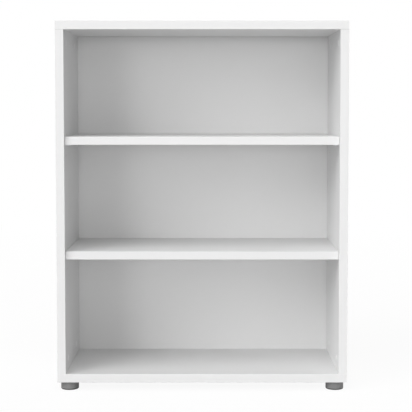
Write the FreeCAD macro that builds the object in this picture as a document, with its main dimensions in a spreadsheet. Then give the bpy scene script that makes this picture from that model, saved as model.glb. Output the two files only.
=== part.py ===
import FreeCAD, Part
import Sketcher
import os
import re

# Open bookcase: a carcass of melamine faced boards with two loose shelves, a thin back sheet in grooves
# and four levelling feet. Millimetres, +Z up, front towards -Y, origin on the floor under the middle.

SIZES = {
    # The whole bookcase
    "overall_width": "891",
    "overall_depth": "400",
    "carcass_height": "1107",
    "foot_height": "26",
    # Boards and their edge bands
    "board_thickness": "26",
    "shelf_thickness": "25",
    "band_thickness": "1",
    "band_radius": "0.8",
    # Shelves: clear heights below them and the gaps around them
    "bottom_clear_height": "353",
    "middle_clear_height": "327",
    "shelf_setback": "12",
    "shelf_end_gap": "0.6",
    "shelf_back_gap": "2",
    # Back sheet and the grooves that hold it
    "back_thickness": "3",
    "groove_setback": "8.8",
    "groove_depth": "8",
    "groove_side_gap": "0.2",
    "groove_end_gap": "1",
    # Shelf pins and their rows of holes
    "pin_hole_diameter": "5",
    "pin_front_inset": "64",
    "pin_rear_inset": "80",
    "pin_pitch": "32",
    "pin_gap": "0.1",
    "pin_end_gap": "2",
    "pin_shank_length": "10",
    "pin_collar_diameter": "9",
    "pin_collar_thickness": "1.2",
    "pin_seat_diameter": "7",
    "pin_reach_length": "11",
    "pin_flat_height": "2",
    # Cam discs, turned in bores of the sides
    "cam_front_inset": "64",
    "cam_rear_inset": "112",
    "cam_end_inset": "38",
    "cam_bore_diameter": "15",
    "cam_gap": "0.15",
    "cam_end_gap": "0.3",
    "cam_recess_depth": "0.3",
    "cam_floor_thickness": "1",
    "cam_grip_gap": "0.3",
    "cam_cavity_gap": "2.4",
    "cam_socket_width": "5.4",
    "cam_slot_width": "1.5",
    "cam_socket_depth": "4.5",
    # Cam bolts, screwed into the top and the bottom
    "bolt_head_diameter": "6.8",
    "bolt_neck_diameter": "4",
    "bolt_neck_gap": "1.5",
    "bolt_shank_diameter": "6",
    "bolt_collar_diameter": "7.6",
    "bolt_collar_thickness": "2",
    "bolt_channel_gap": "0.2",
    "bolt_thread_diameter": "5.8",
    "bolt_thread_length": "11",
    "bolt_thread_gap": "0.1",
    "bolt_end_gap": "1",
    # Cover caps on the cams
    "cap_lap_width": "1.25",
    "cap_thickness": "1.3",
    "cap_radius": "0.9",
    "cap_plug_gap": "0.15",
    "cap_plug_end_gap": "1",
    # Dowels
    "dowel_diameter": "8",
    "dowel_gap": "0.05",
    "dowel_front_inset": "96",
    "dowel_rear_inset": "144",
    "dowel_side_depth": "18",
    "dowel_panel_depth": "12",
    "dowel_end_gap": "0.5",
    "dowel_chamfer_width": "1",
    # Levelling feet: moulded cup, threaded stud and insert nut
    "foot_diameter": "55",
    "foot_inset": "35",
    "foot_wall_thickness": "3",
    "foot_floor_thickness": "4",
    "foot_tread_radius": "4",
    "foot_rim_radius": "1",
    "foot_boss_thickness": "5",
    "foot_boss_gap": "1",
    "foot_rib_thickness": "2.4",
    "foot_rib_gap": "4",
    "stud_diameter": "7.4",
    "stud_gap": "0.3",
    "stud_seat_height": "2",
    "stud_cover_thickness": "4",
    "stud_end_gap": "2",
    "stud_chamfer_width": "1",
    "insert_wall_thickness": "2",
    "insert_gap": "0.05",
    "insert_length": "13",
    # How far cuts run past the faces that they open
    "cut_overrun_length": "2",
}

foot_rib_count = 8

# Places and lengths that follow from the sizes
side_height = "(carcass_height - 2 * board_thickness)"
inner_width = "(overall_width - 2 * board_thickness)"
left_wall = "(board_thickness - overall_width / 2)"
bolt_line = "(board_thickness / 2 - overall_width / 2)"
front_plane = "(-overall_depth / 2)"
board_depth = "(overall_depth - band_thickness)"
carcass_middle = "(foot_height + carcass_height / 2)"
groove_width = "(back_thickness + 2 * groove_side_gap)"
groove_front = f"(overall_depth - groove_setback - {groove_width})"
back_face = f"({groove_front} + groove_side_gap)"
lower_shelf_rise = "bottom_clear_height"
upper_shelf_rise = "(bottom_clear_height + shelf_thickness + middle_clear_height)"
shelf_width = f"({inner_width} - 2 * shelf_end_gap)"
shelf_depth = f"({back_face} - shelf_setback - shelf_back_gap)"
cam_height = f"({side_height} / 2 - cam_end_inset)"
cam_jaw = "(bolt_neck_diameter + 2 * cam_grip_gap)"
cam_chamber = "(bolt_head_diameter + 2 * cam_grip_gap)"
cam_cavity = "(bolt_head_diameter + cam_cavity_gap)"
cam_length = f"(board_thickness / 2 - cam_recess_depth + {cam_chamber} / 2 + cam_floor_thickness)"
cavity_drop = f"({cam_cavity} / 2 - cam_grip_gap - sqrt((bolt_head_diameter / 2)^2 - ({cam_jaw} / 2)^2))"
bolt_neck_length = "(cam_bore_diameter / 2 + bolt_neck_gap)"
bolt_channel = "(bolt_collar_diameter + 2 * bolt_channel_gap)"
stud_bore = "(stud_diameter + 2 * stud_gap)"
stud_hole_depth = "(board_thickness - stud_cover_thickness)"
stud_seat = "(foot_floor_thickness + stud_seat_height)"
stud_length = f"(foot_height - {stud_seat} + {stud_hole_depth} - stud_end_gap)"
insert_hole = f"({stud_bore} + 2 * insert_wall_thickness)"
foot_boss = f"({stud_bore} + 2 * foot_boss_thickness)"

doc = FreeCAD.newDocument("Bookcase")
sheet = doc.addObject("Spreadsheet::Sheet", "Sizes")
for row, (name, size) in enumerate(SIZES.items(), start=1):
    sheet.set(f"A{row}", name)
    sheet.set(f"B{row}", size)
    sheet.setAlias(f"B{row}", name)
doc.recompute()


def in_sheet(expression):
    # Every named size is read from the sheet
    return re.sub(r"[a-z_]+", lambda word: f"Sizes.{word[0]}" if word[0] in SIZES else word[0], expression)


def number(expression):
    return float(sheet.evalExpression(in_sheet(expression)))


def bind(item, setting, expression):
    item.setExpression(setting, in_sheet(expression))


def new_body(label, across="0", deep="0", high="0"):
    body = doc.addObject("PartDesign::Body", label)
    body.Label = label
    for axis, place in zip("xyz", (across, deep, high)):
        bind(body, f"Placement.Base.{axis}", place)
    return body


def origin_of(body):
    return {feature.Role: feature for feature in body.Origin.OriginFeatures}


def new_sketch(body, name, plane, across="0", up="0", out="0"):
    # The sketch's own origin lies across, up and out from the body's, in the plane's directions
    sketch = body.newObject("Sketcher::SketchObject", f"{body.Label}_{name}")
    sketch.AttachmentSupport = [(origin_of(body)[plane], "")]
    sketch.MapMode = "FlatFace"
    for axis, place in zip("xyz", (across, up, out)):
        bind(sketch, f"AttachmentOffset.Base.{axis}", place)
    return sketch


def hold(sketch, kind, ends, expression):
    index = sketch.addConstraint(Sketcher.Constraint(kind, *ends, number(expression)))
    bind(sketch, f"Constraints[{index}]", expression)


def hold_point(sketch, line, end, across, up):
    # A coordinate of zero puts the point on the sketch's own axis
    for kind, place, axis in (("DistanceX", across, -2), ("DistanceY", up, -1)):
        if place == "0":
            sketch.addConstraint(Sketcher.Constraint("PointOnObject", line, end, axis))
        else:
            hold(sketch, kind, (-1, 1, line, end), place)


def draw_outline(sketch, corners):
    # Straight lines from corner to corner and back to the first
    spots = [FreeCAD.Vector(number(across), number(up), 0) for across, up in corners]
    first = sketch.GeometryCount
    for start, end in zip(spots, spots[1:] + spots[:1]):
        sketch.addGeometry(Part.LineSegment(start, end))
    for line in range(len(corners)):
        after = (line + 1) % len(corners)
        sketch.addConstraint(Sketcher.Constraint("Coincident", first + line, 2, first + after, 1))
    for line, (across, up) in enumerate(corners):
        hold_point(sketch, first + line, 1, across, up)


def draw_rectangle(sketch, left, low, right, high):
    draw_outline(sketch, [(left, low), (right, low), (right, high), (left, high)])


def draw_circle(sketch, across, up, diameter):
    middle = FreeCAD.Vector(number(across), number(up), 0)
    circle = sketch.addGeometry(Part.Circle(middle, FreeCAD.Vector(0, 0, 1), number(diameter) / 2))
    hold(sketch, "Diameter", (circle,), diameter)
    hold_point(sketch, circle, 3, across, up)


def add_pad(sketch, length, reverse=False):
    pad = sketch.getParentGeoFeatureGroup().newObject("PartDesign::Pad", f"{sketch.Name}_pad")
    pad.Profile = sketch
    pad.Reversed = reverse
    bind(pad, "Length", length)
    doc.recompute()
    return pad


def checked_cut(body, feature, volume_before):
    doc.recompute()
    if body.Shape.Volume >= volume_before:
        raise RuntimeError(f"{feature.Label} removes nothing")
    return feature


def add_pocket(sketch, length, reverse=False, both_ways=False):
    doc.recompute()
    body = sketch.getParentGeoFeatureGroup()
    volume_before = body.Shape.Volume
    pocket = body.newObject("PartDesign::Pocket", f"{sketch.Name}_pocket")
    pocket.Profile = sketch
    pocket.Reversed = reverse
    if both_ways:
        pocket.SideType = "Symmetric"
    bind(pocket, "Length", length)
    return checked_cut(body, pocket, volume_before)


def drill(body, name, plane, spots, diameter, depth, out="0", reverse=False):
    # Flat bottomed holes, all of one size, at the given spots of one face
    sketch = new_sketch(body, name, plane, out=out)
    for across, up in spots:
        draw_circle(sketch, across, up, diameter)
    doc.recompute()
    volume_before = body.Shape.Volume
    hole = body.newObject("PartDesign::Hole", f"{sketch.Name}_hole")
    hole.Profile = sketch
    doc.recompute()
    hole.DepthType = "Dimension"
    hole.DrillPoint = "Flat"
    hole.Reversed = reverse
    bind(hole, "Diameter", diameter)
    bind(hole, "Depth", depth)
    return checked_cut(body, hole, volume_before)


def add_revolution(sketch, axis):
    turned = sketch.getParentGeoFeatureGroup().newObject("PartDesign::Revolution", f"{sketch.Name}_turned")
    turned.Profile = sketch
    turned.ReferenceAxis = (sketch, [axis])
    doc.recompute()
    return turned


def soften(kind, feature, setting, size, chosen):
    # A fillet or chamfer on the chosen edges
    names = [f"Edge{n}" for n, edge in enumerate(feature.Shape.Edges, start=1) if chosen(edge)]
    softened = feature.getParentGeoFeatureGroup().newObject(f"PartDesign::{kind}", f"{feature.Name}_{kind}")
    softened.Base = (feature, names)
    bind(softened, setting, size)
    doc.recompute()
    return softened


same_size = 1e-6


def is_ring(edge, diameter):
    # A circle of the given diameter
    return hasattr(edge.Curve, "Radius") and abs(2 * edge.Curve.Radius - number(diameter)) < same_size


def repeat(body, mirrors, axis=None, step="0"):
    # Copies of the whole piece: mirrored about planes of the body, then once more along an axis
    origin = origin_of(body)
    copies = body.newObject("PartDesign::MultiTransform", f"{body.Label}_copies")
    copies.TransformMode = "Whole shape"
    moves = []
    for plane in mirrors:
        mirror = doc.addObject("PartDesign::Mirrored", f"{body.Label}_across_{plane}")
        mirror.MirrorPlane = (origin[plane], [""])
        moves.append(mirror)
    if axis:
        row = doc.addObject("PartDesign::LinearPattern", f"{body.Label}_row")
        row.Direction = (origin[axis], [""])
        row.Occurrences = 2
        bind(row, "Length", step)
        moves.append(row)
    copies.Transformations = moves
    body.Tip = copies
    doc.recompute()


def mirror_right(left_piece, label):
    twin = doc.addObject("Part::Mirroring", label)
    twin.Label = label
    twin.Source = left_piece
    twin.Normal = FreeCAD.Vector(1, 0, 0)
    return twin


def spots_of(columns, rows):
    return [(across, up) for across in columns for up in rows]


def make_block(label, place, size):
    # A flat rectangular piece with its left front lower corner at its own origin
    width, depth, height = size
    body = new_body(label, *place)
    outline = new_sketch(body, "outline", "XY_Plane")
    draw_rectangle(outline, "0", "0", width, depth)
    return body, add_pad(outline, height)


def make_band(label, place, size, long_side, facing):
    # An edge band whose two long outer arrises are rounded; its outer face looks towards facing
    body, pad = make_block(label, place, size)

    def outer_arris(edge):
        reach = edge.BoundBox.YMax if facing == "front" else edge.BoundBox.XMax
        return abs(reach) < same_size and abs(edge.Length - number(long_side)) < same_size

    soften("Fillet", pad, "Radius", "band_radius", outer_arris)
    return body


# Where the fittings of a joint lie, along the depth of a board that is measured behind its band
cam_rows = ("cam_front_inset - band_thickness", f"{board_depth} - cam_rear_inset")
dowel_rows = ("dowel_front_inset - band_thickness", f"{board_depth} - dowel_rear_inset")
pin_rows = ("pin_front_inset - band_thickness", f"{board_depth} - pin_rear_inset")


def make_cross_panel(label, high, face, upwards):
    # Top or bottom: a groove, bolt holes and dowel holes in the face that looks into the carcass
    place = ("band_thickness - overall_width / 2", "band_thickness - overall_depth / 2", high)
    size = ("overall_width - 2 * band_thickness", board_depth, "board_thickness")
    body = make_block(label, place, size)[0]
    groove = new_sketch(body, "groove", "XY_Plane", out=face)
    groove_left = "board_thickness - groove_depth - band_thickness"
    groove_right = "overall_width - board_thickness + groove_depth - band_thickness"
    draw_rectangle(groove, groove_left, f"{groove_front} - band_thickness", groove_right,
                   f"{groove_front} + {groove_width} - band_thickness")
    add_pocket(groove, "groove_depth", reverse=upwards)
    over_sides = ("board_thickness / 2 - band_thickness",
                  "overall_width - board_thickness / 2 - band_thickness")
    drill(body, "bolts", "XY_Plane", spots_of(over_sides, cam_rows),
          "bolt_thread_diameter + 2 * bolt_thread_gap", "bolt_thread_length + bolt_end_gap", face, upwards)
    drill(body, "dowels", "XY_Plane", spots_of(over_sides, dowel_rows), "dowel_diameter",
          "dowel_panel_depth + dowel_end_gap", face, upwards)
    return body


def make_bottom_panel():
    # The insert nuts and the ends of the studs go into its underside
    body = make_cross_panel("bottom_panel", "foot_height", "board_thickness", False)
    feet = spots_of(("foot_inset - band_thickness", "overall_width - foot_inset - band_thickness"),
                    ("foot_inset - band_thickness", f"{board_depth} - foot_inset"))
    drill(body, "inserts", "XY_Plane", feet, insert_hole, "insert_length", "0", True)
    drill(body, "studs", "XY_Plane", feet, stud_bore, stud_hole_depth, "0", True)
    return body


def make_left_side():
    # Its own origin is the outer front lower corner; the inner face carries all the drilling
    body = new_body("left_side_panel", "-overall_width / 2", "band_thickness - overall_depth / 2",
                    "foot_height + board_thickness")
    outline = new_sketch(body, "outline", "YZ_Plane")
    draw_rectangle(outline, "0", "0", board_depth, side_height)
    add_pad(outline, "board_thickness")
    groove = new_sketch(body, "groove", "YZ_Plane", out="board_thickness")
    draw_rectangle(groove, f"{groove_front} - band_thickness", "-cut_overrun_length",
                   f"{groove_front} + {groove_width} - band_thickness",
                   f"{side_height} + cut_overrun_length")
    add_pocket(groove, "groove_depth")
    pin_heights = [f"{rise} - pin_flat_height + {step} * pin_pitch"
                   for rise in (lower_shelf_rise, upper_shelf_rise) for step in (-1, 0, 1)]
    drill(body, "pins", "YZ_Plane", spots_of(pin_rows, pin_heights), "pin_hole_diameter",
          "pin_shank_length + pin_end_gap", "board_thickness")
    cam_heights = ("cam_end_inset", f"{side_height} - cam_end_inset")
    drill(body, "cams", "YZ_Plane", spots_of(cam_rows, cam_heights), "cam_bore_diameter",
          f"cam_recess_depth + {cam_length} + cam_end_gap", "board_thickness")
    for end, face, upwards in (("lower", "0", True), ("upper", side_height, False)):
        drill(body, f"{end}_channels", "XY_Plane", spots_of(("board_thickness / 2",), cam_rows),
              bolt_channel, "cam_end_inset", face, upwards)
        drill(body, f"{end}_dowels", "XY_Plane", spots_of(("board_thickness / 2",), dowel_rows),
              "dowel_diameter", "dowel_side_depth + dowel_end_gap", face, upwards)
    return body


def make_back():
    place = (f"{left_wall} - groove_depth + groove_end_gap", f"{front_plane} + {back_face}",
             "foot_height + board_thickness - groove_depth")
    size = (f"{inner_width} + 2 * (groove_depth - groove_end_gap)", "back_thickness",
            f"{side_height} + 2 * groove_depth - groove_end_gap")
    return make_block("back_panel", place, size)[0]


def make_shelf(label, rise):
    place = (f"{left_wall} + shelf_end_gap", f"{front_plane} + shelf_setback + band_thickness",
             f"foot_height + board_thickness + {rise}")
    return make_block(label, place, (shelf_width, f"{shelf_depth} - band_thickness", "shelf_thickness"))[0]


def make_shelf_band(label, rise):
    place = (f"{left_wall} + shelf_end_gap", f"{front_plane} + shelf_setback",
             f"foot_height + board_thickness + {rise}")
    return make_band(label, place, (shelf_width, "band_thickness", "shelf_thickness"), shelf_width, "front")


def make_shelf_pins(label, rise):
    # A turned pin with a collar against the wall; its inner end has a flat that the shelf lies on
    body = new_body(label, "0", f"{front_plane} + pin_front_inset",
                    f"foot_height + board_thickness + {rise} - pin_flat_height")
    profile = new_sketch(body, "profile", "XZ_Plane", left_wall)
    shank = "pin_hole_diameter / 2 - pin_gap"
    collar = "pin_collar_diameter / 2"
    seat = "pin_seat_diameter / 2"
    draw_outline(profile, [("-pin_shank_length", "0"), ("-pin_shank_length", shank), ("0", shank),
                           ("0", collar), ("pin_collar_thickness", collar), ("pin_collar_thickness", seat),
                           ("pin_reach_length", seat), ("pin_reach_length", "0")])
    add_revolution(profile, "H_Axis")
    flat = new_sketch(body, "flat", "XZ_Plane", left_wall)
    draw_rectangle(flat, "0", "pin_flat_height", "pin_reach_length + cut_overrun_length",
                   "pin_collar_diameter")
    add_pocket(flat, "pin_collar_diameter + cut_overrun_length", both_ways=True)
    repeat(body, ["YZ_Plane"], "Y_Axis", "overall_depth - pin_front_inset - pin_rear_inset")
    return body


def new_fitting_body(label, first_row):
    # Fittings of the corner joints are copied about the middle of the carcass
    return new_body(label, "0", f"{front_plane} + {first_row}", carcass_middle)


def draw_cross(sketch, arm, half_slot):
    # The outline of a cross recess, once round
    back_arm, back_slot = f"-({arm})", f"-({half_slot})"
    draw_outline(sketch, [(half_slot, arm), (back_slot, arm), (back_slot, half_slot), (back_arm, half_slot),
                          (back_arm, back_slot), (back_slot, back_slot), (back_slot, back_arm),
                          (half_slot, back_arm), (half_slot, back_slot), (arm, back_slot),
                          (arm, half_slot), (half_slot, half_slot)])


def make_cam_discs():
    # The bolt's ball head lies in an off centre cavity behind two jaws; the head came in opposite the bolt
    body = new_fitting_body("cam_discs", "cam_front_inset")
    disc = new_sketch(body, "disc", "YZ_Plane", "0", cam_height, f"{left_wall} - cam_recess_depth")
    draw_circle(disc, "0", "0", "cam_bore_diameter - 2 * cam_gap")
    add_pad(disc, cam_length, reverse=True)
    cavity = new_sketch(body, "cavity", "YZ_Plane", "0", cam_height, bolt_line)
    draw_circle(cavity, "0", f"-{cavity_drop}", cam_cavity)
    add_pocket(cavity, cam_chamber, both_ways=True)
    past_rim = "cam_bore_diameter / 2 + cut_overrun_length"
    jaws = new_sketch(body, "jaws", "YZ_Plane", "0", cam_height, bolt_line)
    draw_rectangle(jaws, f"-{cam_chamber} / 2", f"-({past_rim})", past_rim, past_rim)
    add_pocket(jaws, cam_jaw, both_ways=True)
    entry = new_sketch(body, "entry", "YZ_Plane", "0", cam_height, bolt_line)
    draw_rectangle(entry, f"-{cam_chamber} / 2", f"-({past_rim})", f"{cam_chamber} / 2", "0")
    add_pocket(entry, cam_chamber, both_ways=True)
    socket = new_sketch(body, "socket", "YZ_Plane", "0", cam_height, f"{left_wall} - cam_recess_depth")
    draw_cross(socket, "cam_socket_width / 2", "cam_slot_width / 2")
    add_pocket(socket, "cam_socket_depth")
    repeat(body, ["YZ_Plane", "XY_Plane"], "Y_Axis", "overall_depth - cam_front_inset - cam_rear_inset")
    return body


def make_cam_bolts():
    # Ball head, neck between the jaws, shank, collar against the panel and thread in it
    body = new_fitting_body("cam_bolts", "cam_front_inset")
    profile = new_sketch(body, "profile", "XZ_Plane", bolt_line, cam_height)
    collar_low = "cam_end_inset - bolt_collar_thickness"
    thread_end = "cam_end_inset + bolt_thread_length"
    corners = [("0", "0")]
    for diameter, low, high in (("bolt_neck_diameter", "0", bolt_neck_length),
                                ("bolt_shank_diameter", bolt_neck_length, collar_low),
                                ("bolt_collar_diameter", collar_low, "cam_end_inset"),
                                ("bolt_thread_diameter", "cam_end_inset", thread_end)):
        corners += [(f"{diameter} / 2", low), (f"{diameter} / 2", high)]
    draw_outline(profile, corners + [("0", thread_end)])
    add_revolution(profile, "V_Axis")
    head = body.newObject("PartDesign::AdditiveSphere", "cam_bolts_head")
    bind(head, "Radius", "bolt_head_diameter / 2")
    bind(head, "Placement.Base.x", bolt_line)
    bind(head, "Placement.Base.z", cam_height)
    doc.recompute()
    repeat(body, ["YZ_Plane", "XY_Plane"], "Y_Axis", "overall_depth - cam_front_inset - cam_rear_inset")
    return body


def make_cover_caps():
    # A round lid on the wall, held by a cross shaped plug in the cam's recess
    body = new_fitting_body("cam_cover_caps", "cam_front_inset")
    lid = new_sketch(body, "lid", "YZ_Plane", "0", cam_height, left_wall)
    draw_circle(lid, "0", "0", "cam_bore_diameter + 2 * cap_lap_width")
    pad = add_pad(lid, "cap_thickness")
    lid_top = number(f"{left_wall} + cap_thickness")
    soften("Fillet", pad, "Radius", "cap_radius",
           lambda edge: abs(edge.BoundBox.XMin - lid_top) < same_size)
    plug = new_sketch(body, "plug", "YZ_Plane", "0", cam_height, left_wall)
    draw_cross(plug, "cam_socket_width / 2 - cap_plug_gap", "cam_slot_width / 2 - cap_plug_gap")
    add_pad(plug, "cam_recess_depth + cam_socket_depth - cap_plug_end_gap", reverse=True)
    repeat(body, ["YZ_Plane", "XY_Plane"], "Y_Axis", "overall_depth - cam_front_inset - cam_rear_inset")
    return body


def make_dowels():
    body = new_fitting_body("wood_dowels", "dowel_front_inset")
    rod = new_sketch(body, "rod", "XY_Plane", bolt_line, "0", f"{side_height} / 2 - dowel_side_depth")
    draw_circle(rod, "0", "0", "dowel_diameter - 2 * dowel_gap")
    pad = add_pad(rod, "dowel_side_depth + dowel_panel_depth")
    soften("Chamfer", pad, "Size", "dowel_chamfer_width",
           lambda edge: is_ring(edge, "dowel_diameter - 2 * dowel_gap"))
    repeat(body, ["YZ_Plane", "XY_Plane"], "Y_Axis", "overall_depth - dowel_front_inset - dowel_rear_inset")
    return body


def make_foot(label, across, deep):
    # A moulded cup: rounded below, open above, with ribs from its wall to the boss round the stud
    body = new_body(label, across, deep)
    profile = new_sketch(body, "profile", "XZ_Plane")
    inside = "foot_diameter / 2 - foot_wall_thickness"
    boss_top = "foot_height - foot_boss_gap"
    draw_outline(profile, [("0", "0"), ("foot_diameter / 2", "0"), ("foot_diameter / 2", "foot_height"),
                           (inside, "foot_height"), (inside, "foot_floor_thickness"),
                           (f"{foot_boss} / 2", "foot_floor_thickness"), (f"{foot_boss} / 2", boss_top),
                           (f"{stud_bore} / 2", boss_top), (f"{stud_bore} / 2", stud_seat),
                           ("0", stud_seat)])
    turned = add_revolution(profile, "V_Axis")
    half_way = number("foot_height / 2")
    tread = soften("Fillet", turned, "Radius", "foot_tread_radius",
                   lambda edge: is_ring(edge, "foot_diameter") and edge.BoundBox.ZMax < half_way)
    soften("Fillet", tread, "Radius", "foot_rim_radius",
           lambda edge: is_ring(edge, "foot_diameter") and edge.BoundBox.ZMin > half_way)
    outline = new_sketch(body, "rib", "XY_Plane", out="foot_floor_thickness")
    draw_rectangle(outline, f"{foot_boss} / 2 - foot_wall_thickness / 2", "-foot_rib_thickness / 2",
                   "foot_diameter / 2 - foot_wall_thickness / 2", "foot_rib_thickness / 2")
    rib = add_pad(outline, "foot_height - foot_floor_thickness - foot_rib_gap")
    ribs = body.newObject("PartDesign::PolarPattern", f"{label}_ribs")
    ribs.Originals = [rib]
    ribs.Axis = (origin_of(body)["Z_Axis"], [""])
    ribs.Occurrences = foot_rib_count
    body.Tip = ribs
    return body


def make_stud(label, across, deep):
    # Its chamfered end goes up into the insert nut
    body = new_body(label, across, deep, stud_seat)
    rod = new_sketch(body, "rod", "XY_Plane")
    draw_circle(rod, "0", "0", "stud_diameter")
    pad = add_pad(rod, stud_length)
    half_way = number(f"{stud_length} / 2")
    soften("Chamfer", pad, "Size", "stud_chamfer_width",
           lambda edge: is_ring(edge, "stud_diameter") and edge.BoundBox.ZMin > half_way)
    return body


def make_insert_nuts():
    body = new_body("foot_insert_nuts", high="foot_height")
    ring = new_sketch(body, "ring", "XY_Plane", "foot_inset - overall_width / 2",
                      "foot_inset - overall_depth / 2")
    draw_circle(ring, "0", "0", f"{insert_hole} - 2 * insert_gap")
    draw_circle(ring, "0", "0", stud_bore)
    add_pad(ring, "insert_length")
    repeat(body, ["YZ_Plane", "XZ_Plane"])
    return body


top_rise = "foot_height + carcass_height - board_thickness"
pieces = [make_cross_panel("top_panel", top_rise, "0", True), make_bottom_panel()]
pieces += [make_left_side(), make_back()]
pieces += [mirror_right(pieces[2], "right_side_panel")]

for name, high in (("top", top_rise), ("bottom", "foot_height")):
    corner = ("-overall_width / 2", front_plane, high)
    front_size = ("overall_width", "band_thickness", "board_thickness")
    pieces += [make_band(f"{name}_front_edge_band", corner, front_size, "overall_width", "front")]
    behind = ("-overall_width / 2", f"{front_plane} + band_thickness", high)
    left_size = ("band_thickness", board_depth, "board_thickness")
    left_band = make_band(f"{name}_left_edge_band", behind, left_size, board_depth, "left")
    pieces += [left_band, mirror_right(left_band, f"{name}_right_edge_band")]

side_corner = ("-overall_width / 2", front_plane, "foot_height + board_thickness")
side_size = ("board_thickness", "band_thickness", side_height)
side_band = make_band("left_side_edge_band", side_corner, side_size, side_height, "front")
pieces += [side_band, mirror_right(side_band, "right_side_edge_band")]

for name, rise in (("lower", lower_shelf_rise), ("upper", upper_shelf_rise)):
    pieces += [make_shelf(f"{name}_shelf", rise), make_shelf_band(f"{name}_shelf_edge_band", rise),
               make_shelf_pins(f"{name}_shelf_pins", rise)]

pieces += [make_cam_discs(), make_cam_bolts(), make_cover_caps(), make_dowels()]

foot_rows = {"front": "foot_inset - overall_depth / 2", "rear": "overall_depth / 2 - foot_inset"}
foot_columns = {"left": "foot_inset - overall_width / 2", "right": "overall_width / 2 - foot_inset"}
for row, deep in foot_rows.items():
    for hand, across in foot_columns.items():
        pieces += [make_foot(f"{row}_{hand}_foot", across, deep),
                   make_stud(f"{row}_{hand}_foot_stud", across, deep)]
pieces += [make_insert_nuts()]

doc.recompute()
for item in doc.Objects:
    if "Invalid" in item.State or "Error" in item.State:
        raise RuntimeError(f"{item.Label} failed: {item.State}")
for piece in pieces:
    if piece.Shape.isNull() or not piece.Shape.isValid():
        raise RuntimeError(f"{piece.Label} has no valid shape")

os.makedirs("parts", exist_ok=True)
for piece in pieces:
    piece.Shape.exportStep(f"parts/{piece.Label}.step")
    print(f"{piece.Label}: {len(piece.Shape.Solids)} solid(s), {piece.Shape.Volume:.0f} mm3")
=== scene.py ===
import math

import bpy
import numpy as np
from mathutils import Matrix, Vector


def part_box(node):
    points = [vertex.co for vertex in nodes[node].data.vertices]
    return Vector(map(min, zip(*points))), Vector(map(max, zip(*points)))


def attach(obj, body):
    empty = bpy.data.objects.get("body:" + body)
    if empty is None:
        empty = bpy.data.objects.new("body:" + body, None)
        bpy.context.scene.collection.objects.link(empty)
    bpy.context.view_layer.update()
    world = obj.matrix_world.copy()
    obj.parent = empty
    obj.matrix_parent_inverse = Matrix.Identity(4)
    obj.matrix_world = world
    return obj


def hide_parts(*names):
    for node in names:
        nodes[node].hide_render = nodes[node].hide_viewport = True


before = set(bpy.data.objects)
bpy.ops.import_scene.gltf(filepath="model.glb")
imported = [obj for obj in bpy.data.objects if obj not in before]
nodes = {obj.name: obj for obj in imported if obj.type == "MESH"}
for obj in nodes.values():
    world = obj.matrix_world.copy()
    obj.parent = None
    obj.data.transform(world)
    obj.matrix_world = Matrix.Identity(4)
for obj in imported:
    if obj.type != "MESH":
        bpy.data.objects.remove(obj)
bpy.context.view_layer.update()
scene = bpy.context.scene
millimetre = 0.001
acrossAxis, depthAxis, heightAxis = 0, 1, 2  # left to right, front to back, floor to top
print("frame loaded:", len(nodes), "CAD nodes")

# camera: the photo's viewing point, a little above the upper shelf and looking slightly down
photoCamera = {
    "place": (0.0264, -3.8546, 0.8721),
    "tiltDegrees": 3.5,
    "lens": 105.03,
    "sensor": 36.0,
    "shift": (-0.01144, -0.06165),
}
cameraData = bpy.data.cameras.new("photoCamera")
cameraData.lens = photoCamera["lens"]
cameraData.sensor_width = photoCamera["sensor"]
cameraData.shift_x, cameraData.shift_y = photoCamera["shift"]
camera = bpy.data.objects.new("photoCamera", cameraData)
camera.location = photoCamera["place"]
camera.rotation_euler = (math.radians(90 - photoCamera["tiltDegrees"]), 0, 0)
scene.collection.objects.link(camera)
scene.camera = camera
scene.view_settings.view_transform = "Standard"
print("camera placed")


# puts a node into a tree; an input is either a fixed value or another node's output
def addNode(tree, kind, inputs=None, **settings):
    node = tree.nodes.new(kind)
    for key, value in settings.items():
        setattr(node, key, value)
    for key, value in (inputs or {}).items():
        if isinstance(value, bpy.types.NodeSocket):
            tree.links.new(value, node.inputs[key])
        else:
            node.inputs[key].default_value = value
    return node


def doSum(tree, operation, first, second=0.0):
    return addNode(tree, "ShaderNodeMath", {0: first, 1: second}, operation=operation).outputs[0]


# straight line from one pair of values to another, held at both ends
def spread(tree, value, fromLow, fromHigh, toLow, toHigh):
    inputs = {"Value": value, "From Min": fromLow, "From Max": fromHigh, "To Min": toLow, "To Max": toHigh}
    return addNode(tree, "ShaderNodeMapRange", inputs).outputs[0]


# the Mix node has its sockets for numbers at 2 and 3, and those for colours at 6 and 7
def mixValues(tree, share, first, second):
    return addNode(tree, "ShaderNodeMix", {0: share, 2: first, 3: second}).outputs[0]


def mixColours(tree, share, first, second):
    inputs = {0: share, 6: first, 7: second}
    return addNode(tree, "ShaderNodeMix", inputs, data_type="RGBA").outputs[2]


def mixShaders(tree, share, first, second):
    return addNode(tree, "ShaderNodeMixShader", {0: share, 1: first.outputs[0], 2: second.outputs[0]})


def noiseOf(tree, place, scale, detail=2.0, roughness=0.5):
    inputs = {"Vector": place, "Scale": scale, "Detail": detail, "Roughness": roughness}
    return addNode(tree, "ShaderNodeTexNoise", inputs).outputs[0]


def stretched(tree, place, scales):
    return addNode(tree, "ShaderNodeMapping", {"Vector": place, "Scale": scales}).outputs[0]


# a noise with its own scale along each axis
def stretchedNoise(tree, place, scales, detail=2.0, roughness=0.5):
    return noiseOf(tree, stretched(tree, place, scales), 1.0, detail, roughness)


def axesOf(tree, place):
    return addNode(tree, "ShaderNodeSeparateXYZ", {0: place}).outputs


def grey(level):
    return (level, level, level, 1.0)


# the tone, darker by the depth where the noise is low
def cloudedGrey(tree, noise, tone, depth):
    return mixColours(tree, noise, grey(tone - depth), grey(tone))


noiseLow, noiseHigh = 0.3, 0.7  # nearly all of a noise lies between these


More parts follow.
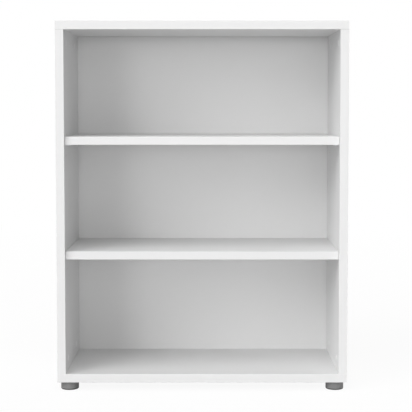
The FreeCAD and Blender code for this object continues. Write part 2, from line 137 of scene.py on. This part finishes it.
def roughnessBy(tree, noise, finish):
    smooth, matt = finish["roughness"], finish["roughness"] + finish["roughnessSpread"]
    return spread(tree, noise, noiseLow, noiseHigh, smooth, matt)


def newFinish(name):
    material = bpy.data.materials.new(name)
    material.use_nodes = True
    tree = material.node_tree
    shader = tree.nodes["Principled BSDF"]
    place = addNode(tree, "ShaderNodeTexCoord").outputs["Object"]
    return material, tree, shader, place


# height becomes a bump of the finish's distance; shine is how much it mirrors, 0.5 for bare gloss
def connect(tree, shader, colour, roughness, height, finish):
    bump = addNode(tree, "ShaderNodeBump", {"Height": height, "Distance": finish["bumpDistance"]})
    shader.inputs["Specular IOR Level"].default_value = finish["shine"]
    tree.links.new(colour, shader.inputs["Base Color"])
    tree.links.new(roughness, shader.inputs["Roughness"])
    tree.links.new(bump.outputs[0], shader.inputs["Normal"])


# chipboard: flakes lie flat in the board, thinner than they are long
chipCore = {
    "darkest": (0.30, 0.19, 0.10, 1),
    "middle": (0.52, 0.37, 0.22, 1),
    "palest": (0.70, 0.55, 0.37, 1),
    "middleAt": 0.45,
    "flakesAlong": 420.0,
    "flakesThrough": 1100.0,
    "roughness": 0.85,
}


def chipColours(tree, place, axis):
    scales = [chipCore["flakesAlong"]] * 3
    scales[axis] = chipCore["flakesThrough"]
    cells = addNode(tree, "ShaderNodeTexVoronoi", {"Vector": stretched(tree, place, scales), "Scale": 1.0})
    tone = addNode(tree, "ShaderNodeSeparateColor", {0: cells.outputs["Color"]}).outputs[0]
    ramp = addNode(tree, "ShaderNodeValToRGB", {0: tone})
    ramp.color_ramp.elements[0].color = chipCore["darkest"]
    ramp.color_ramp.elements[1].color = chipCore["palest"]
    ramp.color_ramp.elements.new(chipCore["middleAt"]).color = chipCore["middle"]
    return ramp.outputs[0], cells.outputs["Distance"]


# white melamine paper on both faces of a board and on its sealed ends, chipboard wherever a cut shows
melamine = {
    "white": 0.80,
    "cloudDepth": 0.012,
    "cloudScale": 7.0,
    "pearlScale": 1300.0,
    "pearlHeight": 0.10,
    "roughness": 0.40,
    "roughnessSpread": 0.08,
    "shine": 0.3,
    "skinFrom": 0.21 * millimetre,
    "skinTo": 0.39 * millimetre,
    "seamInner": 0.075 * millimetre,
    "seamOuter": 0.25 * millimetre,
    "seamTone": 0.66,
    "bumpDistance": 0.25 * millimetre,
}


# how far a point lies under the nearer of the board's two faces across an axis
def depthUnder(tree, along, axis, low, high):
    below = doSum(tree, "SUBTRACT", along[axis], low[axis])
    above = doSum(tree, "SUBTRACT", high[axis], along[axis])
    return doSum(tree, "MINIMUM", below, above)


def melamineBoard(name, axis, low, high, seams, sealedAxis):
    material, tree, shader, place = newFinish(name)
    along = axesOf(tree, place)
    depth = depthUnder(tree, along, axis, low, high)
    if sealedAxis is not None:
        depth = doSum(tree, "MINIMUM", depth, depthUnder(tree, along, sealedAxis, low, high))
    core = spread(tree, depth, melamine["skinFrom"], melamine["skinTo"], 0.0, 1.0)
    clouds = noiseOf(tree, place, melamine["cloudScale"], detail=3.0)
    pearl = noiseOf(tree, place, melamine["pearlScale"], roughness=0.6)
    white = cloudedGrey(tree, clouds, melamine["white"], melamine["cloudDepth"])
    # hairline of glue where an edge band meets the face
    for seamAxis, seamAt in seams:
        gap = doSum(tree, "ABSOLUTE", doSum(tree, "SUBTRACT", along[seamAxis], seamAt))
        line = spread(tree, gap, melamine["seamInner"], melamine["seamOuter"], 1.0, 0.0)
        white = mixColours(tree, line, white, grey(melamine["seamTone"]))
    chips, chipHeight = chipColours(tree, place, axis)
    colour = mixColours(tree, core, white, chips)
    rough = mixValues(tree, core, roughnessBy(tree, pearl, melamine), chipCore["roughness"])
    height = mixValues(tree, core, doSum(tree, "MULTIPLY", pearl, melamine["pearlHeight"]), chipHeight)
    connect(tree, shader, colour, rough, height, melamine)
    return material


# edge band: extruded white plastic strip, a touch smoother than the paper, drawn lines along its length
edgeBand = {
    "white": 0.81,
    "lineDepth": 0.014,
    "lineScale": 30.0,
    "acrossScale": 2600.0,
    "cloudScale": 9.0,
    "roughness": 0.33,
    "roughnessSpread": 0.10,
    "shine": 0.4,
    "bumpDistance": 0.03 * millimetre,
    # painted shadow at the joint under the top: its extent and tone
    "jointShadowInner": 0.33 * millimetre,
    "jointShadowOuter": 0.55 * millimetre,
    "jointShadowTone": 0.38,
}


# jointAt is the height of a painted shadow hairline, where an upright band ends under the top
def edgeBandFinish(name, lengthAxis, jointAt=None):
    material, tree, shader, place = newFinish(name)
    scales = [edgeBand["acrossScale"]] * 3
    scales[lengthAxis] = edgeBand["lineScale"]
    lines = stretchedNoise(tree, place, scales)
    clouds = noiseOf(tree, place, edgeBand["cloudScale"])
    drawn = doSum(tree, "MULTIPLY", lines, clouds)
    palest, darkest = edgeBand["white"], edgeBand["white"] - edgeBand["lineDepth"]
    colour = mixColours(tree, drawn, grey(palest), grey(darkest))
    if jointAt is not None:
        # painted shadow: a dark hairline over the band's last half millimetre below the top
        gap = doSum(tree, "SUBTRACT", jointAt, axesOf(tree, place)[heightAxis])
        line = spread(tree, gap, edgeBand["jointShadowInner"], edgeBand["jointShadowOuter"], 1.0, 0.0)
        colour = mixColours(tree, line, colour, grey(edgeBand["jointShadowTone"]))
    connect(tree, shader, colour, roughnessBy(tree, lines, edgeBand), lines, edgeBand)
    return material


# back sheet: white lacquer towards the shelves, bare brown fibreboard behind
backSheet = {
    "white": 0.79,
    "cloudDepth": 0.012,
    "cloudScale": 6.0,
    "grainScale": 900.0,
    "grainHeight": 0.15,
    "brown": (0.245, 0.150, 0.082, 1),
    "brownPale": (0.345, 0.225, 0.130, 1),
    "fibreScales": (260.0, 260.0, 110.0),
    "speckScale": 620.0,
    "speckShare": 0.6,
    "mottleLow": 0.55,
    "mottleHigh": 1.05,
    "roughFront": 0.42,
    "roughRear": 0.74,
    "shine": 0.3,
    "lacquerFrom": 0.2 * millimetre,
    "lacquerTo": 0.4 * millimetre,
    "bumpDistance": 0.12 * millimetre,
}


def backSheetFinish(name, front):
    material, tree, shader, place = newFinish(name)
    depth = doSum(tree, "SUBTRACT", axesOf(tree, place)[depthAxis], front)
    bare = spread(tree, depth, backSheet["lacquerFrom"], backSheet["lacquerTo"], 0.0, 1.0)
    clouds = noiseOf(tree, place, backSheet["cloudScale"], detail=3.0)
    grain = noiseOf(tree, place, backSheet["grainScale"])
    white = cloudedGrey(tree, clouds, backSheet["white"], backSheet["cloudDepth"])
    fibres = stretchedNoise(tree, place, backSheet["fibreScales"], detail=5.0, roughness=0.7)
    specks = noiseOf(tree, place, backSheet["speckScale"], detail=3.0, roughness=0.6)
    blend = doSum(tree, "ADD", fibres, doSum(tree, "MULTIPLY", specks, backSheet["speckShare"]))
    mottled = spread(tree, blend, backSheet["mottleLow"], backSheet["mottleHigh"], 0.0, 1.0)
    brown = mixColours(tree, mottled, backSheet["brown"], backSheet["brownPale"])
    colour = mixColours(tree, bare, white, brown)
    rough = spread(tree, bare, 0.0, 1.0, backSheet["roughFront"], backSheet["roughRear"])
    height = mixValues(tree, bare, doSum(tree, "MULTIPLY", grain, backSheet["grainHeight"]), fibres)
    connect(tree, shader, colour, rough, height, backSheet)
    return material


# moulded plastics: a fine spark-eroded grain, with faint flow clouds in the colour
capPlastic = {
    "tone": 0.88,
    "cloudDepth": 0.010,
    "cloudScale": 60.0,
    "grainScale": 1500.0,
    "roughness": 0.30,
    "roughnessSpread": 0.10,
    "shine": 0.4,
    "bumpDistance": 0.02 * millimetre,
}
# the foot's cup is painted darker where it rounds off towards the floor: a painted shade of its rounded lower
# edge, which faces down
footPlastic = {
    "tone": 0.262,
    "cloudDepth": 0.030,
    "cloudScale": 60.0,
    "grainScale": 1400.0,
    "roughness": 0.52,
    "roughnessSpread": 0.16,
    "shine": 0.08,
    "bumpDistance": 0.06 * millimetre,
    # painted shade near the floor: its tone, and the heights between which it fades out
    "paintedShadeTone": 0.09,
    "paintedShadeLow": 2.5 * millimetre,
    "paintedShadeHigh": 6.0 * millimetre,
}


def mouldedFinish(name, plastic):
    material, tree, shader, place = newFinish(name)
    clouds = noiseOf(tree, place, plastic["cloudScale"], detail=3.0)
    grain = noiseOf(tree, place, plastic["grainScale"], detail=3.0, roughness=0.6)
    colour = cloudedGrey(tree, clouds, plastic["tone"], plastic["cloudDepth"])
    if "paintedShadeTone" in plastic:
        # painted shade: the cup's colour darkens from 6 mm down to 2.5 mm above the floor
        upright = axesOf(tree, place)[heightAxis]
        paintedShade = spread(tree, upright, plastic["paintedShadeLow"], plastic["paintedShadeHigh"], 1.0, 0.0)
        colour = mixColours(tree, paintedShade, colour, grey(plastic["paintedShadeTone"]))
    connect(tree, shader, colour, roughnessBy(tree, grain, plastic), grain, plastic)
    return material


# metals: bright zinc plate on steel, and matt grainy zinc castings
platedSteel = {
    "pale": (0.74, 0.75, 0.77, 1),
    "dull": (0.62, 0.63, 0.64, 1),
    "cloudScale": 180.0,
    "grainScale": 900.0,
    "roughness": 0.24,
    "roughnessSpread": 0.16,
    "shine": 0.5,
    "bumpDistance": 0.01 * millimetre,
}
zincCasting = {
    "pale": (0.60, 0.61, 0.63, 1),
    "dull": (0.44, 0.45, 0.46, 1),
    "cloudScale": 180.0,
    "grainScale": 1500.0,
    "roughness": 0.42,
    "roughnessSpread": 0.20,
    "shine": 0.5,
    "bumpDistance": 0.05 * millimetre,
}


def metalFinish(name, metal):
    material, tree, shader, place = newFinish(name)
    clouds = noiseOf(tree, place, metal["cloudScale"], detail=4.0, roughness=0.6)
    grain = noiseOf(tree, place, metal["grainScale"], detail=3.0, roughness=0.6)
    colour = mixColours(tree, clouds, metal["dull"], metal["pale"])
    shader.inputs["Metallic"].default_value = 1.0
    connect(tree, shader, colour, roughnessBy(tree, grain, metal), grain, metal)
    return material


# beech dowels: upright grain with short dark flecks
beech = {
    "pale": (0.62, 0.43, 0.27, 1),
    "dark": (0.47, 0.29, 0.16, 1),
    "grainScales": (700.0, 700.0, 60.0),
    "fleckScales": (1500.0, 1500.0, 320.0),
    "fleckLow": 0.62,
    "fleckHigh": 0.72,
    "fleckShare": 0.7,
    "roughness": 0.62,
    "roughnessSpread": 0.12,
    "shine": 0.3,
    "bumpDistance": 0.05 * millimetre,
}


def beechFinish(name):
    material, tree, shader, place = newFinish(name)
    grain = stretchedNoise(tree, place, beech["grainScales"], detail=4.0, roughness=0.6)
    flecks = stretchedNoise(tree, place, beech["fleckScales"], detail=1.0)
    dashes = spread(tree, flecks, beech["fleckLow"], beech["fleckHigh"], 0.0, beech["fleckShare"])
    wood = mixColours(tree, grain, beech["dark"], beech["pale"])
    colour = mixColours(tree, dashes, wood, beech["dark"])
    connect(tree, shader, colour, roughnessBy(tree, grain, beech), grain, beech)
    return material


def dress(name, material):
    slots = nodes[name].data.materials
    slots.clear()
    slots.append(material)


# boards: axis through the thickness, axis between ends sealed with paper, and the bands glued to the edges
boards = {
    "top_panel": (heightAxis, None,
                  ("top_front_edge_band", "top_left_edge_band", "top_right_edge_band")),
    "bottom_panel": (heightAxis, None,
                     ("bottom_front_edge_band", "bottom_left_edge_band", "bottom_right_edge_band")),
    "left_side_panel": (acrossAxis, None, ("left_side_edge_band",)),
    "right_side_panel": (acrossAxis, None, ("right_side_edge_band",)),
    "lower_shelf": (heightAxis, acrossAxis, ("lower_shelf_edge_band",)),
    "upper_shelf": (heightAxis, acrossAxis, ("upper_shelf_edge_band",)),
}
for boardName, (axis, sealedAxis, bandNames) in boards.items():
    low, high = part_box(boardName)
    seams = []
    for bandName in bandNames:
        bandLow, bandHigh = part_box(bandName)
        size = bandHigh - bandLow
        thinAxis = min(range(3), key=lambda one: size[one])
        lengthAxis = max(range(3), key=lambda one: size[one])
        # the band's glued face is the one nearer the middle of the bookcase
        seams.append((thinAxis, min(bandLow[thinAxis], bandHigh[thinAxis], key=abs)))
        jointAt = bandHigh.z if lengthAxis == heightAxis else None
        dress(bandName, edgeBandFinish(bandName + "_finish", lengthAxis, jointAt))
    dress(boardName, melamineBoard(boardName + "_finish", axis, low, high, seams, sealedAxis))
dress("back_panel", backSheetFinish("back_panel_finish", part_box("back_panel")[0][depthAxis]))

steelFinish = metalFinish("plated_steel_finish", platedSteel)
castFinish = metalFinish("zinc_casting_finish", zincCasting)
footFinish = mouldedFinish("foot_plastic_finish", footPlastic)
dress("cam_cover_caps", mouldedFinish("cap_plastic_finish", capPlastic))
dress("cam_discs", castFinish)
dress("wood_dowels", beechFinish("beech_finish"))
for name in ("cam_bolts", "lower_shelf_pins", "upper_shelf_pins", "foot_insert_nuts"):
    dress(name, steelFinish)
corners = [(row, hand) for row in ("front", "rear") for hand in ("left", "right")]
for row, hand in corners:
    dress(f"{row}_{hand}_foot", footFinish)
    dress(f"{row}_{hand}_foot_stud", steelFinish)
print("finishes on", len(nodes), "nodes")

# threaded stud of each foot: lengths in metres, flats as shares of the pitch
threadedStud = {
    "pitch": 1.25 * millimetre,
    "rootRadius": 3.28 * millimetre,
    "crestRadius": 3.92 * millimetre,
    "rootFlat": 0.25,
    "crestFlat": 0.125,
    "chamfer": 1.0 * millimetre,
    "stepsPerPitch": 9,
    "stepsAround": 40,
}


# the radius is a function of height and turn: the phase, height over pitch less turn, gives a ridge that
# rises and falls in straight flanks between a flat root and a flat crest, and both ends are chamfered
def studSurface(low, high):
    stud = threadedStud
    around = stud["stepsAround"]
    middle = (low + high) / 2
    rings = int(round((high.z - low.z) / stud["pitch"] * stud["stepsPerPitch"])) + 1
    levels, turns = np.linspace(low.z, high.z, rings), np.arange(around) / around
    height, turn = np.meshgrid(levels, turns, indexing="ij")
    phase = ((height - low.z) / stud["pitch"] - turn) % 1.0
    flank = 0.5 - 0.5 * (stud["rootFlat"] + stud["crestFlat"])
    rise = np.clip((0.5 - 0.5 * stud["crestFlat"] - np.abs(phase - 0.5)) / flank, 0.0, 1.0)
    ridge = stud["rootRadius"] + (stud["crestRadius"] - stud["rootRadius"]) * rise
    fromEnd = np.minimum(height - low.z, high.z - height)
    radius = np.minimum(ridge, stud["crestRadius"] - stud["chamfer"] + fromEnd)
    angle = turn * math.tau
    points = np.stack((middle.x + radius * np.cos(angle), middle.y + radius * np.sin(angle), height), axis=-1)
    # quads between each ring and the next, and one face over each end
    ring, step = np.meshgrid(np.arange(rings - 1), np.arange(around), indexing="ij")
    start, follow = ring * around, (step + 1) % around
    quads = np.stack((start + step, start + follow, start + follow + around, start + step + around), axis=-1)
    lowerEnd = np.arange(around)[::-1]
    upperEnd = np.arange(around) + (rings - 1) * around
    return points.reshape(-1, 3), quads.reshape(-1, 4).tolist() + [lowerEnd.tolist(), upperEnd.tolist()]


for row, hand in corners:
    nodeName = f"{row}_{hand}_foot_stud"
    points, faces = studSurface(*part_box(nodeName))
    mesh = bpy.data.meshes.new(f"{row}_{hand}_thread")
    mesh.from_pydata(points, [], faces)
    mesh.materials.append(steelFinish)
    thread = bpy.data.objects.new(f"{row}_{hand}_thread", mesh)
    scene.collection.objects.link(thread)
    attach(thread, f"{row}_{hand}_screw")
    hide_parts(nodeName)
print("threaded studs made:", len(corners))

# floor: a wide pale sheet; where it is looked at it is mostly plain white and keeps a soft shadow,
# and far from the bookcase it is all white
paleFloor = {
    "half": 60.0,
    "tone": 0.60,
    "seenTone": 1.0,
    "whiteShare": 0.92,
    "nearby": 1.0,
    "faraway": 5.0,
}
half = paleFloor["half"]
floorCorners = [(-half, -half, 0), (half, -half, 0), (half, half, 0), (-half, half, 0)]
floorMesh = bpy.data.meshes.new("paleFloor")
floorMesh.from_pydata(floorCorners, [], [(0, 1, 2, 3)])
floor = bpy.data.objects.new("paleFloor", floorMesh)
scene.collection.objects.link(floor)


# 1 for rays that look at the background straight, in a reflection or through something
def seenDirectly(tree):
    rays = addNode(tree, "ShaderNodeLightPath").outputs
    shown = doSum(tree, "MAXIMUM", rays["Is Camera Ray"], rays["Is Glossy Ray"])
    return doSum(tree, "MAXIMUM", shown, rays["Is Transmission Ray"])


floorMaterial = bpy.data.materials.new("paleFloor")
floorMaterial.use_nodes = True
floorTree = floorMaterial.node_tree
floorTree.nodes.clear()
bounce = addNode(floorTree, "ShaderNodeBsdfDiffuse", {"Color": grey(paleFloor["tone"])})
shaded = addNode(floorTree, "ShaderNodeBsdfDiffuse", {"Color": grey(paleFloor["seenTone"])})
white = addNode(floorTree, "ShaderNodeEmission", {"Color": grey(1.0), "Strength": 1.0})
floorPlace = addNode(floorTree, "ShaderNodeTexCoord").outputs["Object"]
distance = addNode(floorTree, "ShaderNodeVectorMath", {0: floorPlace}, operation="LENGTH").outputs["Value"]
share = spread(floorTree, distance, paleFloor["nearby"], paleFloor["faraway"], paleFloor["whiteShare"], 1.0)
looked = mixShaders(floorTree, share, shaded, white)
joined = mixShaders(floorTree, seenDirectly(floorTree), bounce, looked)
addNode(floorTree, "ShaderNodeOutputMaterial", {"Surface": joined.outputs[0]})
floorMesh.materials.append(floorMaterial)

# room: even light from all round, plain white where it is looked at
room = {"level": 0.19}
world = bpy.data.worlds.new("room")
world.use_nodes = True
scene.world = world
roomTree = world.node_tree
roomTree.nodes.clear()
even = addNode(roomTree, "ShaderNodeBackground", {"Color": grey(1.0), "Strength": room["level"]})
plain = addNode(roomTree, "ShaderNodeBackground", {"Color": grey(1.0), "Strength": 1.0})
either = mixShaders(roomTree, seenDirectly(roomTree), even, plain)
addNode(roomTree, "ShaderNodeOutputWorld", {"Surface": either.outputs[0]})

# soft studio light: degrees round from the front (left is negative), degrees up, degrees wide, strength
softLights = {
    "leftScreen": (-50, 30, 40, 1.25),
    "farLeftScreen": (-75, 50, 25, 0.19),
    "nearLeftScreen": (-34, 22, 35, 0.25),
    "leftLow": (-25, 3, 14, 0.36),
    "frontLow": (0, 1.5, 5, 0.24),
    "nearRightScreen": (20, 6, 30, 0.31),
    "overhead": (0, 60, 45, 0.94),
    "rightSide": (98, 6, 30, 0.85),
    "rearLeft": (-140, 6, 40, 0.65),
    "rearRight": (140, 6, 40, 0.90),
}
lampDistance = 8.0  # metres from the middle; a sun lamp shines alike from any distance
for name, (around, up, wide, strength) in softLights.items():
    lampData = bpy.data.lights.new(name, "SUN")
    lampData.angle = math.radians(wide)
    lampData.energy = strength
    across, rise = math.radians(around), math.radians(up)
    way = Vector((math.sin(across) * math.cos(rise), -math.cos(across) * math.cos(rise), math.sin(rise)))
    lamp = bpy.data.objects.new(name, lampData)
    lamp.location = way * lampDistance
    lamp.rotation_euler = (-way).to_track_quat("-Z", "Y").to_euler()
    scene.collection.objects.link(lamp)
print("floor, room and", len(softLights), "soft lights placed")
